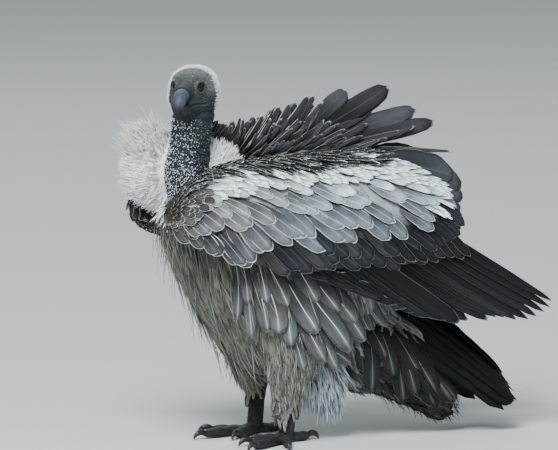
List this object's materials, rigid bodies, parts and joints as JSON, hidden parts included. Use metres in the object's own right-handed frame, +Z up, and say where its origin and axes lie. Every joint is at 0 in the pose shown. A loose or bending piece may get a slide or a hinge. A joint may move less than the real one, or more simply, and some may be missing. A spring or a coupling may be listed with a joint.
{
  "type": "standing vulture",
  "caption": "Life-size standing white-backed vulture with folded wings, raised shoulder feathers and its head turned to its left.",
  "frame": {"origin": "middle of the whole bird's footprint, on the floor under the feet", "axes": "+Z up, the bird faces -X, its left side is -Y and its tail points to +X"},
  "size_m": [0.6397, 0.2716, 0.5493],
  "materials": {
    "eye": "wet dark gloss",
    "bill": "smooth dull horn",
    "cere": "fine matt skin",
    "face": "skin under short sparse down",
    "neck": "dark skin speckled with white down",
    "down": "soft white down",
    "coverts": "pale-edged small feathers",
    "flight": "dark long feathers with a slight sheen",
    "body": "buff-brown streaked feathers",
    "undertail": "brown soft feathers with pale shafts",
    "tail": "black stiff feathers",
    "scapulars": "dark brown feathers with pale edges",
    "scales": "dark scaly skin",
    "claw": "dark horn, slight gloss"
  },
  "bodies": {
    "root": {"eye_left": "eye", "eye_right": "eye", "bill_upper": "bill", "bill_lower": "bill", "cere": "cere", "head": "face", "neck": "neck", "wing_left": "coverts", "thigh_left": "body", "wing_right": "coverts", "thigh_right": "body", "trunk": "body", "ruff": "down", "scapulars_raised": "scapulars", "undertail": "undertail", "vent_down": "down", "tertials_left": "scapulars", "primaries_left": "flight", "secondaries_left": "flight", "tertials_right": "scapulars", "primaries_right": "flight", "secondaries_right": "flight", "tail": "tail", "claw_middle_left": "claw", "claw_outer_left": "claw", "claw_inner_left": "claw", "claw_hind_left": "claw", "shank_left": "scales", "foot_left": "scales", "claw_middle_right": "claw", "claw_outer_right": "claw", "claw_inner_right": "claw", "claw_hind_right": "claw", "shank_right": "scales", "foot_right": "scales"}
  },
  "joints": []
}
